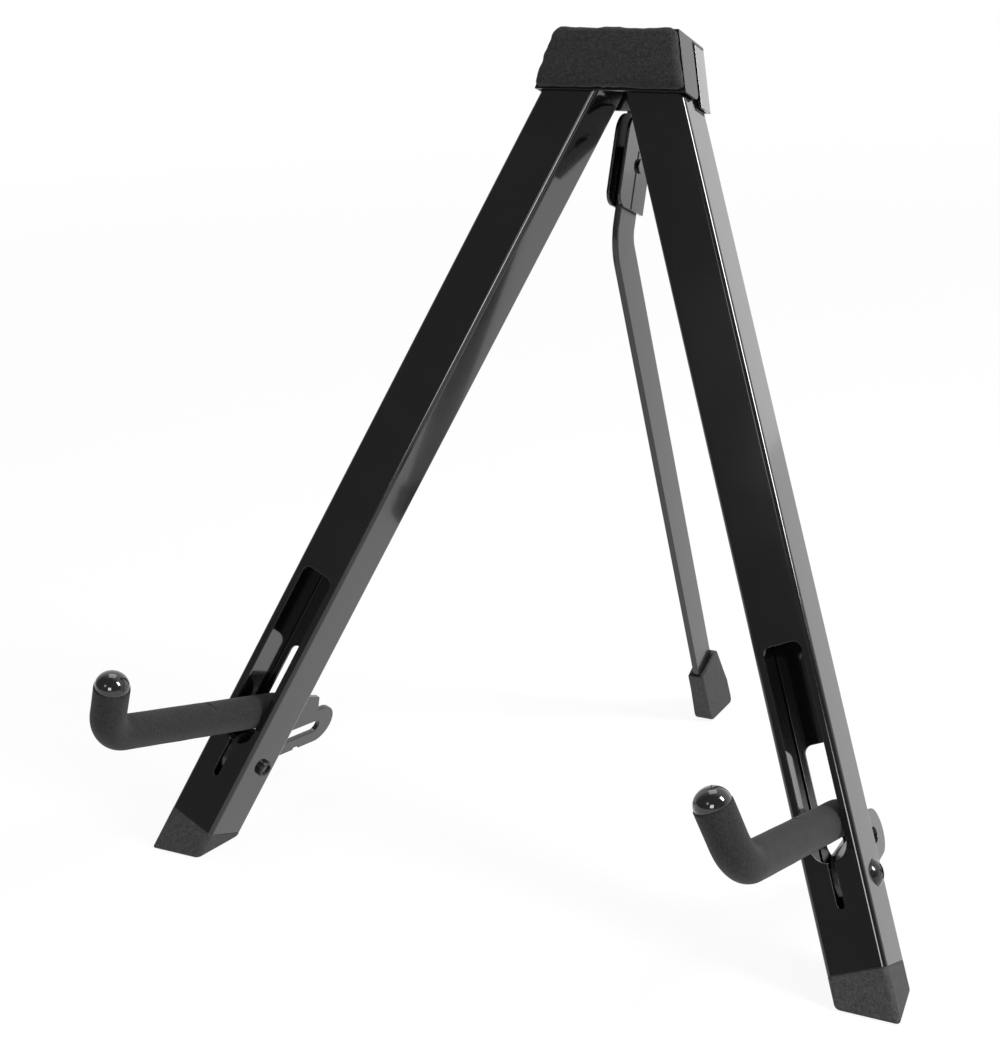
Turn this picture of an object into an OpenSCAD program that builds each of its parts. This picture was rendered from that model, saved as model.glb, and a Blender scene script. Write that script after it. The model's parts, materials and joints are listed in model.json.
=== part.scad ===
// Folding A-frame guitar stand: two slotted box legs, a folded head with a
// foam pad, a flat rear leg and two sleeved arms that slide and swing up.
// Millimetres. The feet stand on Z = 0, the arms point to -Y.

/* [Stance] */
// Lean of the front legs back from upright, in degrees
lean = 22; // [20:0.5:23]
// Swing of each front leg out from the middle, in degrees
spread = 22; // [20.5:0.5:22.5]
// Height of the leg pivots, measured up the leaning plane of the legs
pivot_height = 374; // [360:1:390]
// Distance between the two leg pivots
pivot_gap = 29.5; // [29:0.25:30]

/* [Front legs] */
// Outer width of the square leg tube
leg_w = 25; // [24:0.25:25]
// Outer depth of the leg tube, front to back
leg_d = 25; // [24.5:0.25:26]
// Wall thickness of the leg tube
leg_wall = 1.5; // [1.2:0.1:1.8]
// Outer corner radius of the leg tube
leg_corner = 2.2; // [2:0.1:2.6]
// Length of tube above the pivot
leg_over = 7; // [6:0.5:7]
// Length of the foot plug that shows below the tube
plug_h = 18; // [16:0.5:20]

/* [Slots in the legs] */
// Width of the front and back slots, which let the foam sleeve in
slot_w = 16.2; // [16:0.1:16.6]
// Top of the front slot above the cross screw
front_slot_top = 95.5; // [93:0.5:98]
// Top of the back slot above the cross screw
back_slot_top = 54.8; // [53:0.2:57]
// Bottom of the front slot above the cross screw
front_slot_bottom = 7; // [6:0.5:8]
// Bottom of the back slot above the cross screw
back_slot_bottom = 6; // [5:0.5:6.5]
// Width of the guide slit below each slot
slit_w = 3; // [2.9:0.1:3.2]
// Depth of the front guide slit below the cross screw
front_slit_drop = 11.2; // [11:0.1:12]
// Depth of the back guide slit below the cross screw
back_slit_drop = 20.5; // [20:0.5:21]

/* [Arms] */
// Height of the cross screw above the floor, along the leg
screw_height = 53.7; // [53:0.1:55]
// Depth of the cross screw behind the leg's front face
screw_depth = 15; // [14.5:0.1:15.5]
// Thickness of the stamped arm plate
plate_t = 2.5; // [2.2:0.1:2.6]
// Half height of the plate along its long slot
plate_half = 10; // [9.5:0.1:10.5]
// Reach of the plate's nose forward of the cross screw
nose_r = 14.2; // [13.6:0.1:14.4]
// Tilt of the long slot, in degrees, rising to the rear
slot_tilt = 17; // [16:0.5:18]
// Travel of the arm along its long slot
slide_travel = 50; // [48:0.5:51]
// Height of the long slot in the plate
slot_h = 6.5; // [6.2:0.1:6.8]
// Diameter of the bent arm rod
rod_d = 8; // [7.6:0.1:8.4]
// Height of the rod above the cross screw, at the screw
rod_rise = 23.4; // [22.8:0.1:23.8]
// Dip of the rod towards its bend, in degrees
rod_dip = 5.2; // [4.5:0.1:6]
// Distance from the cross screw forward to the start of the bend
rod_straight = 102; // [98:0.5:105]
// Radius of the bend, on the rod's centre line
bend_r = 17; // [16:0.5:18]
// Angle of the bend, in degrees
bend_angle = 68; // [66:0.5:70]
// Straight length after the bend, up to the end of the sleeve
hook_len = 18; // [16:0.5:19]
// Outer diameter of the foam sleeve
foam_d = 15.4; // [15:0.1:15.6]

/* [Head] */
// Thickness of the head's sheet metal
sheet = 1.5; // [1.2:0.1:1.6]
// Half width of the head along its top
head_half_top = 28.4; // [28.2:0.1:29]
// Lower edge of the front shell, below the pivots
head_drop = 13.4; // [13:0.1:14]
// Top of the head above the pivots
head_rise = 13.5; // [13.5:0.1:14.5]
// Depth of the front shell's side flanges
front_flange = 13.5; // [13:0.1:14]
// Gap between the front and rear side flanges
flange_gap = 2.4; // [2.2:0.1:2.6]
// Thickness of the foam pad on the front
pad_t = 5.5; // [5:0.1:6]

/* [Rear leg] */
// Angle of the lower rear leg from upright, in degrees
rear_angle = 20.7; // [20:0.1:21.5]
// Width of the flat bar
bar_w = 17; // [16.5:0.1:17.5]
// Thickness of the flat bar
bar_t = 3.1; // [2.9:0.1:3.2]
// Distance of the rear pin below the leg pivots
rear_pin_drop = 38; // [36:0.5:40]
// Distance of the rear pin behind the legs' front plane
rear_pin_depth = 33; // [32.5:0.1:33.5]
// Length of the bar from its pin to its bend
crank_len = 33.6; // [33:0.1:35]
// Radius of the bend, on the bar's centre line
bar_bend_r = 20; // [18:0.5:22]

/* [Hidden] */

$fn = 64;

// running clearance, radial, of every turning fit
run = 0.05;
// gap between faces of pieces that move past each other
gap = 0.3;

// stance
leg_len = pivot_height / cos(spread);
screw_drop = leg_len - screw_height;

// leg pivots
rivet_d = 8;
rivet_head_d = 13;
rivet_head_h = 1.6;

// cross screw and its bushes
screw_d = 5;
screw_head_d = 11.7;
screw_head_h = 2.9;
screw_recess_w = 1.6;
screw_recess_l = 6;
screw_recess_h = 1.8;
nut_d = 7.8;
nut_h = 2.2;
nut_lip = 0.5;
nut_sink = 1;
bush_d = 9.5;
barrel_d = slot_h - 2 * run;

// arm
tab_back = 39;
tab_slant = 5;
tab_top = 31.1;
// reach of the weld and the sleeve along the arm, forward of the cross screw
weld_start = -22;
weld_end = -7.5;
sleeve_start = -7;
// the plate's upper edge drops from the tab to its shoulder, then to the nose
shoulder = [-10.5, 15.4];
nose_low = -28;
nose_high = 42;
sleeve_sides = 28;
tail_over = 3.5;
rod_bore = rod_d + 0.04;
bar_ease = 0.02;
cap_d = 12.8;
cap_skirt = 9;
cap_dome = 4.2;

// head, in the leaning plane, with y counted back from the legs' front plane
shell_front = -gap - sheet;
shell_back = leg_d + gap;
head_back = shell_back + sheet;
head_bottom = -head_drop;
head_top = head_rise;
rear_drop = head_drop + 2;
// the side flanges stop the open legs, just below the rear shell's lower edge
head_half_bottom = pivot_gap / 2 + leg_w / 2 / cos(spread) + rear_drop * tan(spread) + gap + sheet;
rear_flange_front = front_flange + flange_gap;
pad_margin = 0.8;
pad_round = 2;

// rear bracket
ear_t = 1.5;
ear_gap = 0.4;
ear_in = bar_t / 2 + ear_gap;
ear_out = ear_in + ear_t;
ear_front = 17.2;
ear_bottom = 58;
ear_top = 16.2;
ear_curve = 10;
ear_fold = 30;
ear_joggle = 0.4;
stop_high = -48;
stop_low = -56;
plate_half_w = 23;
plate_low = -11.5;
plate_high = 10;
pin_d = 5;
pin_head_d = 6.6;
pin_head_h = 0.9;

// rear leg
stop_front = rear_pin_depth + bar_w / 2 + gap;
ear_back = stop_front + sheet;
rear_turn = lean + rear_angle;
bend_back = bar_bend_r * tan(rear_turn / 2);
// the boot's height along the bar, and the rise of its top to the rear
boot_up = 34;
boot_tilt = 1.6;
boot_wall = 1.3;
boot_heel_wall = 2.6;
boot_cheek = 2.7;
boot_flare_back = 7.9;
boot_block = 10;
boot_flare_side = 0.5;
boot_toe_r = 4.5;
boot_heel_r = 2;
bar_stop = 4;

// places of the rear pin, the bend and the foot, as [y, z] from the floor
pin_y = (pivot_height - rear_pin_drop) * sin(lean) + rear_pin_depth * cos(lean);
pin_z = (pivot_height - rear_pin_drop) * cos(lean) - rear_pin_depth * sin(lean);
bend_y = pin_y - crank_len * sin(lean);
bend_z = pin_z - crank_len * cos(lean);
lower_len = bend_z / cos(rear_angle);
foot_y = bend_y + bend_z * tan(rear_angle);

// the stand is centred front to back: the hook's rim is its front, the heel its back
hook_dir = bend_angle - rod_dip;
bend_f = rod_straight;
bend_h = rod_rise - rod_straight * tan(rod_dip);
tip_f = bend_f + bend_r * (sin(rod_dip) + sin(hook_dir)) + hook_len * cos(hook_dir);
tip_h = bend_h + bend_r * (cos(rod_dip) - cos(hook_dir)) + hook_len * sin(hook_dir);
tip_run = cos(lean) * cos(hook_dir) - cos(spread) * sin(lean) * sin(hook_dir);
tip_y = (screw_depth - tip_f) * cos(lean)
  + (pivot_height + (tip_h - screw_drop) * cos(spread)) * sin(lean);
front_y = tip_y - foam_d / 2 * sqrt(1 - tip_run * tip_run);
toe_y = foot_y - (bar_w / 2 + boot_wall) / cos(rear_angle);
heel_y = foot_y + (bar_w / 2 + boot_flare_back) / cos(rear_angle);
back_y = heel_y - boot_heel_r * (tan(45 + rear_angle / 2) - 1);
centre_y = (front_y + back_y) / 2;

metal = [0.13, 0.13, 0.14];
bright = [0.45, 0.45, 0.47];
foam = [0.2, 0.2, 0.21];
rubber = [0.24, 0.24, 0.25];
gloss = [0.04, 0.04, 0.04];

// Modules that only place or cut

// Places children in the leaning plane of the front legs, with z up the plane
// and the origin at the height of the leg pivots.
module plane_frame() {
  translate([0, -centre_y, 0])
    rotate([-lean, 0, 0])
      translate([0, 0, pivot_height])
        children();
}

// Places children in a leg's own frame: the origin is its pivot, z runs up the leg.
module leg_frame(side) {
  plane_frame()
    translate([side * pivot_gap / 2, 0, 0])
      rotate([0, -side * spread, 0])
        children();
}

// Places children at the cross screw of a leg.
module screw_frame(side) {
  leg_frame(side)
    translate([0, screw_depth, -screw_drop])
      children();
}

// Turns a profile drawn as [forward, up] into the arm's plane.
module arm_plane() {
  rotate([90, 0, -90])
    children();
}

// Rectangle with rounded corners, centred, made of squares and circles.
module round_rect(w, h, r) {
  square([w - 2 * r, h], center = true);
  square([w, h - 2 * r], center = true);
  for (x = [-1, 1], y = [-1, 1])
    translate([x * (w / 2 - r), y * (h / 2 - r)])
      circle(r);
}

// Everything above the floor.
module above_floor() {
  translate([-400, -400, 0])
    cube([800, 800, 800]);
}

// front legs

// Outline of a slot from bottom to top, round below and with small corners above.
module slot_outline(bottom, top) {
  r = slot_w / 2;
  corner = 3.5;
  translate([0, bottom + r])
    circle(r);
  translate([-r, bottom + r])
    square([slot_w, top - bottom - r - corner]);
  translate([-r + corner, top - corner - 1])
    square([slot_w - 2 * corner, corner + 1]);
  for (x = [-1, 1])
    translate([x * (r - corner), top - corner])
      circle(corner);
}

// Outline of the narrow guide slit below a slot.
module slit_outline(bottom, drop) {
  translate([0, -drop + slit_w / 2])
    circle(slit_w / 2);
  translate([-slit_w / 2, -drop + slit_w / 2])
    square([slit_w, drop + bottom + 1]);
}

// Cutter for one wall of the leg, from depth y0 to y1 behind the front face.
module wall_cut(y0, y1, bottom, top, drop) {
  translate([0, y1, -screw_drop])
    rotate([90, 0, 0])
      linear_extrude(y1 - y0)
        union() {
          slot_outline(bottom, top);
          slit_outline(bottom, drop);
        }
}

module leg_tube(side) {
  length = leg_len + leg_over - plug_h;
  color(metal)
    leg_frame(side)
      difference() {
        translate([0, leg_d / 2, plug_h - leg_len])
          linear_extrude(length)
            difference() {
              round_rect(leg_w, leg_d, leg_corner);
              round_rect(leg_w - 2 * leg_wall, leg_d - 2 * leg_wall, leg_corner - leg_wall);
            }
        // pivot bore, front to back
        translate([0, -1, 0])
          rotate([-90, 0, 0])
            cylinder(d = rivet_d + 2 * run, h = leg_d + 2);
        // cross screw bore, side to side
        translate([-leg_w / 2 - 1, screw_depth, -screw_drop])
          rotate([0, 90, 0])
            cylinder(d = screw_d, h = leg_w + 2);
        wall_cut(-1, leg_wall + 0.6, front_slot_bottom, front_slot_top, front_slit_drop);
        wall_cut(leg_d - leg_wall - 0.6, leg_d + 1, back_slot_bottom, back_slot_top, back_slit_drop);
      }
}

// Moulded plug: flush block cut level with the floor, and a spigot in the tube.
module foot_plug(side) {
  spigot = 14;
  fit = 0.02;
  color(rubber)
    intersection() {
      leg_frame(side)
        union() {
          translate([0, leg_d / 2, -leg_len - 30])
            linear_extrude(30 + plug_h)
              round_rect(leg_w, leg_d, leg_corner);
          translate([0, leg_d / 2, plug_h - leg_len - 1])
            linear_extrude(spigot + 1)
              round_rect(leg_w - 2 * leg_wall - 2 * fit, leg_d - 2 * leg_wall - 2 * fit, 1);
        }
      above_floor();
    }
}

// cross screw of an arm: head on the outer side, nut on the inner side

module pivot_screw(side) {
  color(bright)
    screw_frame(side)
      rotate([0, side * 90, 0])
        difference() {
          union() {
            translate([0, 0, nut_sink - leg_w / 2 - nut_h])
              cylinder(d = screw_d, h = leg_w + nut_h - nut_sink + 0.2);
            translate([0, 0, leg_w / 2])
              screw_dome();
          }
          for (a = [0, 90])
            rotate([0, 0, a])
              translate([0, 0, leg_w / 2 + screw_head_h])
                cube([screw_recess_l, screw_recess_w, 2 * screw_recess_h], center = true);
        }
}

// Low domed head, as a revolved arc over a flat base.
module screw_dome() {
  r = screw_head_d / 2;
  dome_r = (r * r + screw_head_h * screw_head_h) / (2 * screw_head_h);
  rotate_extrude()
    intersection() {
      translate([0, screw_head_h - dome_r])
        circle(dome_r);
      square([r, screw_head_h]);
    }
}

// Low round nut with a sloped rim; the end of the screw lies sunk in it.
module pivot_nut(side) {
  color(bright)
    screw_frame(side)
      rotate([0, -side * 90, 0])
        translate([0, 0, leg_w / 2])
          rotate_extrude()
            polygon([
              [screw_d / 2, 0],
              [nut_d / 2, 0],
              [nut_d / 2, nut_h - nut_lip],
              [nut_d / 2 - nut_lip, nut_h],
              [screw_d / 2, nut_h]
            ]);
}

// Half of the spool that rides in the plate's long slot and centres the plate.
// way is 1 for the half on the outer side of the leg and -1 for the inner half.
module bush(side, way) {
  color(bright)
    screw_frame(side)
      rotate([0, side * way * 90, 0])
        difference() {
          union() {
            cylinder(d = barrel_d, h = leg_w / 2 - leg_wall - run);
            translate([0, 0, plate_t / 2 + run])
              cylinder(d = bush_d, h = leg_w / 2 - leg_wall - plate_t / 2 - 2 * run);
          }
          translate([0, 0, -1])
            cylinder(d = screw_d + 2 * run, h = leg_w);
        }
}

// arms, drawn as [forward, up] from the cross screw

// Stamped plate: a long rounded strip with the slot, and a tab that holds the rod.
module plate_outline() {
  tail = slide_travel + tail_over;
  difference() {
    union() {
      rotate(-slot_tilt) {
        circle(plate_half);
        translate([-tail, -plate_half])
          square([tail, 2 * plate_half]);
        translate([-tail, 0])
          circle(plate_half);
      }
      // the tab, the shoulder and a rounded nose close behind the leg's front slit
      polygon(concat(
        [
          [weld_end, tab_top - 2],
          [weld_end - 2, tab_top],
          [-tab_back, tab_top],
          [-tab_back - tab_slant, slide_line(tab_back + tab_slant) + plate_half],
          [-tab_back, slide_line(tab_back)],
          [0, 1 - plate_half]
        ],
        [for (a = [nose_low : 5 : nose_high]) [nose_r * cos(a), nose_r * sin(a)]],
        [shoulder, [weld_end, rod_line(weld_end) - rod_d / 2]]
      ));
    }
    // the long slot
    rotate(-slot_tilt) {
      circle(d = slot_h);
      translate([-slide_travel, 0])
        circle(d = slot_h);
      translate([-slide_travel, -slot_h / 2])
        square([slide_travel, slot_h]);
    }
    // small step in the lower edge
    rotate(-slot_tilt)
      translate([-slide_travel + 8, -plate_half - 1])
        square([4, 2.2]);
  }
}

// Height of the rod's centre line above the screw, at a distance forward of it.
function rod_line(f) = rod_rise - f * tan(rod_dip);

// Height of the long slot's centre line above the screw, at a distance behind it.
function slide_line(b) = b * tan(slot_tilt);

module arm_plate(side) {
  color(metal)
    screw_frame(side)
      arm_plane()
        translate([0, 0, -plate_t / 2])
          linear_extrude(plate_t)
            plate_outline();
}

// Solid round bar along the arm: from start (forward of the screw) along the
// straight, round the bend and up the hook, short of the sleeve's end by short.
// The hook is thinner by a hair, so that it meets the bend inside its end.
module arm_bar(d, start, short) {
  straight = (rod_straight - start) / cos(rod_dip);
  translate([start, rod_line(start), 0])
    rotate([0, 0, -rod_dip]) {
      lying()
        cylinder(d = d, h = straight);
      translate([straight, bend_r, 0]) {
        rotate([0, 0, -90])
          rotate_extrude(angle = bend_angle)
            translate([bend_r, 0])
              circle(d = d);
        rotate([0, 0, bend_angle])
          translate([0, -bend_r, 0])
            lying()
              cylinder(d = d - bar_ease, h = hook_len - short);
      }
    }
}

// Lays children along +X, turned so that a round's seam meets that of the bend.
module lying() {
  rotate([0, 90, 0])
    rotate([0, 0, -90])
      children();
}

// Bent rod, sawn at its rear end to sit over the plate's tab.
module arm_rod(side) {
  color(metal)
    screw_frame(side)
      arm_plane()
        difference() {
          arm_bar(rod_d, weld_start, cap_skirt);
          translate([weld_start - 1, 0, -plate_t / 2])
            cube([weld_end - weld_start + 1, 60, plate_t]);
        }
}

// Station of the arm's centre line as [forward, up, direction], at a share of the
// bend from 0 to 1 and then on by reach, which is negative before the bend.
function station(share, reach) =
  let (dir = share * bend_angle - rod_dip)
  [
    bend_f + bend_r * (sin(rod_dip) + sin(dir)) + reach * cos(dir),
    bend_h + bend_r * (cos(rod_dip) - cos(dir)) + reach * sin(dir),
    dir
  ];

// Ring of points around a station.
function ring(at, r) = [
  for (k = [0 : sleeve_sides - 1])
    let (a = 360 * k / sleeve_sides)
    [at[0] - r * cos(a) * sin(at[2]), at[1] + r * cos(a) * cos(at[2]), r * sin(a)]
];

// Foam tube: rings run along its outside to the hook's end, back through the
// pocket for the cap and along the bore.
module foam_tube() {
  outer = foam_d / 2;
  bore = rod_bore / 2 / cos(180 / sleeve_sides);
  pocket = (cap_d + 0.04) / 2 / cos(180 / sleeve_sides);
  before = (sleeve_start - bend_f) / cos(rod_dip);
  steps = 9;
  rings = concat(
    [ring(station(0, before), outer)],
    [for (k = [0 : steps]) ring(station(k / steps, 0), outer)],
    [ring(station(1, hook_len), outer)],
    [ring(station(1, hook_len), pocket)],
    [ring(station(1, hook_len - cap_skirt), pocket)],
    [ring(station(1, hook_len - cap_skirt), bore)],
    [for (k = [steps : -1 : 0]) ring(station(k / steps, 0), bore)],
    [ring(station(0, before), bore)]
  );
  n = sleeve_sides;
  m = len(rings);
  polyhedron(
    points = [for (r = rings) each r],
    faces = [
      for (j = [0 : m - 1], k = [0 : n - 1])
        let (a = j * n + k, b = j * n + (k + 1) % n,
             c = ((j + 1) % m) * n + k, d = ((j + 1) % m) * n + (k + 1) % n)
        each [[a, b, d], [a, d, c]]
    ]
  );
}

module foam_sleeve(side) {
  color(foam)
    screw_frame(side)
      arm_plane()
        foam_tube();
}

// Places children at the end of the sleeve, with z out of the hook.
module at_tip() {
  translate([tip_f, tip_h, 0])
    rotate([0, 0, hook_dir])
      lying()
        children();
}

// Glossy cap: a skirt inside the end of the sleeve and a dome over its rim.
module end_cap(side) {
  r = cap_d / 2;
  dome_r = (r * r + cap_dome * cap_dome) / (2 * cap_dome);
  color(gloss)
    screw_frame(side)
      arm_plane()
        at_tip()
          rotate_extrude()
            union() {
              translate([0, -cap_skirt])
                square([r, cap_skirt]);
              intersection() {
                translate([0, cap_dome - dome_r])
                  circle(dome_r);
                square([r, cap_dome]);
              }
            }
}

// head, in the leaning plane

// Outline of the head between two heights, grown outwards by extra.
module head_outline(low, high, extra) {
  slope = (head_half_top - head_half_bottom) / (head_top + rear_drop);
  half_low = head_half_bottom + (low + rear_drop) * slope + extra;
  half_high = head_half_bottom + (high + rear_drop) * slope + extra;
  polygon([[-half_low, low], [half_low, low], [half_high, high], [-half_high, high]]);
}

// Extrudes a head outline from depth y0 to y1.
module head_slab(y0, y1) {
  translate([0, y1, 0])
    rotate([90, 0, 0])
      linear_extrude(y1 - y0)
        children();
}

// Front tray: front wall, side flanges and the top, which spans the whole depth.
module head_front_shell() {
  color(metal)
    plane_frame()
      difference() {
        union() {
          head_slab(shell_front, shell_front + sheet)
            head_outline(head_bottom, head_top, 0);
          head_slab(shell_front, front_flange)
            difference() {
              head_outline(head_bottom, head_top, 0);
              head_outline(head_bottom - 1, head_top + 1, -sheet);
            }
          head_slab(shell_front, head_back)
            head_outline(head_top - sheet, head_top, 0);
        }
        for (side = [-1, 1]) {
          translate([side * pivot_gap / 2, shell_front - 1, 0])
            rotate([-90, 0, 0])
              cylinder(d = rivet_d + 0.04, h = sheet + 2);
          // rounded lower rear corner of the side flange
          flange_corner(side);
        }
      }
}

// Cutter that rounds the lower rear corner of a front side flange.
module flange_corner(side) {
  r = 4;
  translate([side * head_half_bottom - 4, front_flange - r, head_bottom - 1])
    difference() {
      cube([8, r + 1, r + 1]);
      translate([-1, 0, r + 1])
        rotate([0, 90, 0])
          cylinder(r = r, h = 10);
    }
}

// Rear tray: rear wall and two short side flanges, a little deeper than the front.
module head_rear_shell() {
  color(metal)
    plane_frame()
      difference() {
        head_slab(rear_flange_front, head_back)
          head_outline(-rear_drop, head_top - sheet, 0);
        head_slab(rear_flange_front - 1, shell_back)
          head_outline(-rear_drop - 1, head_top, -sheet);
        for (side = [-1, 1])
          translate([side * pivot_gap / 2, shell_back - 1, 0])
            rotate([-90, 0, 0])
              cylinder(d = rivet_d + 0.04, h = sheet + 2);
      }
}

// Thick foam pad on the front, hollowed over the two rivet heads.
module head_pad() {
  color(foam)
    plane_frame()
      difference() {
        union() {
          head_slab(shell_front - pad_t + pad_round, shell_front)
            head_outline(head_bottom + pad_margin, head_top - 0.2, -0.1);
          head_slab(shell_front - pad_t, shell_front - pad_t + pad_round)
            head_outline(head_bottom + pad_margin + pad_round, head_top - pad_round, -pad_round);
        }
        for (side = [-1, 1])
          translate([side * pivot_gap / 2, shell_front - rivet_head_h - 0.2, 0])
            rotate([-90, 0, 0])
              cylinder(d = rivet_head_d + 0.6, h = rivet_head_h + 1);
      }
}

// Rivet through the head and a leg: a flat head under the pad, a dome behind.
module leg_rivet(side) {
  back = head_back + sheet;
  r = rivet_head_d / 2;
  dome_h = 2.2;
  dome_r = (r * r + dome_h * dome_h) / (2 * dome_h);
  color(bright)
    plane_frame()
      translate([side * pivot_gap / 2, 0, 0])
        rotate([-90, 0, 0])
          union() {
            translate([0, 0, shell_front - rivet_head_h])
              cylinder(d = rivet_head_d, h = rivet_head_h);
            translate([0, 0, shell_front - rivet_head_h / 2])
              cylinder(d = rivet_d, h = back - shell_front + 1);
            translate([0, 0, back])
              rotate_extrude()
                intersection() {
                  translate([0, dome_h - dome_r])
                    circle(dome_r);
                  square([r, dome_h]);
                }
          }
}

// rear leg and its bracket

// Side view of a bracket ear, as [depth, height] in the leaning plane.
module ear_outline() {
  bottom_r = 6;
  difference() {
    union() {
      translate([head_back, -ear_top - ear_curve])
        square([ear_back - head_back - 6, ear_curve + ear_top + plate_high]);
      translate([ear_front + bottom_r, -ear_bottom])
        square([ear_back - ear_front - bottom_r, ear_bottom - ear_top - ear_curve]);
      translate([ear_front, -ear_bottom + bottom_r])
        square([bottom_r, ear_bottom - bottom_r - ear_top - ear_curve]);
      translate([ear_front + bottom_r, -ear_bottom + bottom_r])
        circle(bottom_r);
      // shoulder that curves from the front edge back to the plate
      intersection() {
        translate([ear_front + ear_curve, -ear_top - ear_curve])
          circle(ear_curve);
        translate([ear_front, -ear_top - ear_curve])
          square([2 * ear_curve, ear_curve]);
      }
    }
    // chamfer from the plate down to the back edge
    translate([ear_back - 6, -ear_top - ear_curve])
      rotate(-35)
        square([20, 40]);
  }
}

// Riveted bracket: a flat plate behind the head and two ears for the rear pin.
module rear_bracket() {
  pin_up = -rear_pin_drop;
  color(metal)
    plane_frame()
      difference() {
        union() {
          head_slab(head_back, head_back + sheet)
            translate([-plate_half_w, plate_low])
              square([2 * plate_half_w, plate_high - plate_low]);
          for (side = [-1, 1])
            bracket_ear(side);
          // web behind the bar, which stops the open rear leg
          translate([-ear_out, stop_front, stop_low])
            cube([2 * ear_out, sheet, stop_high - stop_low]);
        }
        for (side = [-1, 1])
          translate([side * pivot_gap / 2, head_back - 1, 0])
            rotate([-90, 0, 0])
              cylinder(d = rivet_d + 0.04, h = sheet + 2);
        translate([-20, rear_pin_depth, pin_up])
          rotate([0, 90, 0])
            cylinder(d = pin_d, h = 40);
      }
}

// One ear, with its rear strip stepped out a little.
module bracket_ear(side) {
  low = side > 0 ? ear_in : -ear_out;
  translate([low, 0, 0])
    rotate([90, 0, 90])
      linear_extrude(ear_t)
        ear_outline();
  translate([low + (side > 0 ? ear_joggle : -ear_joggle), 0, 0])
    rotate([90, 0, 90])
      linear_extrude(ear_t)
        intersection() {
          ear_outline();
          translate([ear_fold, -ear_bottom])
            square([ear_back - ear_fold, ear_bottom - rear_pin_drop + 6]);
        }
}

module rear_leg_pin() {
  grip = ear_out + ear_joggle;
  color(bright)
    plane_frame()
      translate([0, rear_pin_depth, -rear_pin_drop])
        rotate([0, 90, 0])
          union() {
            translate([0, 0, -grip - pin_head_h / 2])
              cylinder(d = pin_d, h = 2 * grip + pin_head_h);
            for (way = [-1, 1])
              translate([0, 0, way * (grip + pin_head_h / 2) - pin_head_h / 2])
                cylinder(d = pin_head_d, h = pin_head_h);
          }
}

// Places children in the side view at the bend of the bar, as [y, z], x across.
module side_view(width) {
  translate([-width / 2, -centre_y, 0])
    rotate([90, 0, 90])
      linear_extrude(width)
        children();
}

// Turns a side-view vector by an angle.
function turned(v, a) = [v[0] * cos(a) - v[1] * sin(a), v[0] * sin(a) + v[1] * cos(a)];

// Flat bar with a dog-leg: round end at the pin, bend, then straight to the foot.
module bar_outline() {
  half = bar_w / 2;
  pin = [pin_y, pin_z];
  bend = [bend_y, bend_z];
  centre = pin + turned([bar_bend_r, bend_back - crank_len], -lean);
  first = 180 - lean;
  last = 180 + rear_angle;
  steps = 12;
  function arc_point(r, k) = centre + turned([r, 0], first + (last - first) * k / steps);
  difference() {
    union() {
      translate(pin)
        circle(half);
      polygon(concat(
        [pin + turned([-half, 0], -lean)],
        [for (k = [0 : steps]) arc_point(bar_bend_r + half, k)],
        [bend + turned([-half, bar_stop - lower_len], rear_angle)],
        [bend + turned([half, bar_stop - lower_len], rear_angle)],
        [for (k = [steps : -1 : 0]) arc_point(bar_bend_r - half, k)],
        [pin + turned([half, 0], -lean)]
      ));
    }
    translate(pin)
      circle(d = pin_d + 2 * run);
  }
}

module rear_leg_bar() {
  color(metal)
    side_view(bar_t)
      bar_outline();
}

// Boot in the side view: a sloped top, a straight heel and rounded corners below.
module boot_outline() {
  half = bar_w / 2;
  bend = [bend_y, bend_z];
  top = boot_up - lower_len;
  toe_mid = [toe_y + boot_toe_r * tan(45 - rear_angle / 2), boot_toe_r];
  heel_mid = [heel_y - boot_heel_r * tan(45 + rear_angle / 2), boot_heel_r];
  steps = 6;
  function corner(mid, r, first, last) =
    [for (k = [0 : steps]) mid + turned([r, 0], first + (last - first) * k / steps)];
  polygon(concat(
    [bend + turned([-half - boot_wall, top], rear_angle)],
    corner(toe_mid, boot_toe_r, rear_angle - 180, -90),
    corner(heel_mid, boot_heel_r, -90, rear_angle),
    [bend + turned([half + boot_flare_back, boot_block - lower_len], rear_angle)],
    [bend + turned([half + boot_heel_wall, top + boot_tilt - 1], rear_angle)],
    [bend + turned([half, top + boot_tilt], rear_angle)]
  ));
}

// Slip-on rubber boot, thicker and wider at its foot, with a pocket for the bar.
module rear_boot() {
  cheek = bar_t / 2 + boot_cheek;
  foot = cheek + boot_flare_side;
  color(rubber)
    difference() {
      intersection() {
        side_view(40)
          boot_outline();
        rotate([90, 0, 0])
          translate([0, 0, -300])
            linear_extrude(600)
              polygon([
                [-foot, 0], [foot, 0], [foot, 5], [cheek, 19],
                [cheek, 60], [-cheek, 60], [-cheek, 19], [-foot, 5]
              ]);
      }
      side_view(bar_t + 0.04)
        translate([bend_y, bend_z])
          rotate(rear_angle)
            translate([-bar_w / 2 - 0.02, -lower_len + bar_stop - 0.02])
              square([bar_w + 0.04, 60]);
    }
}

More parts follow.
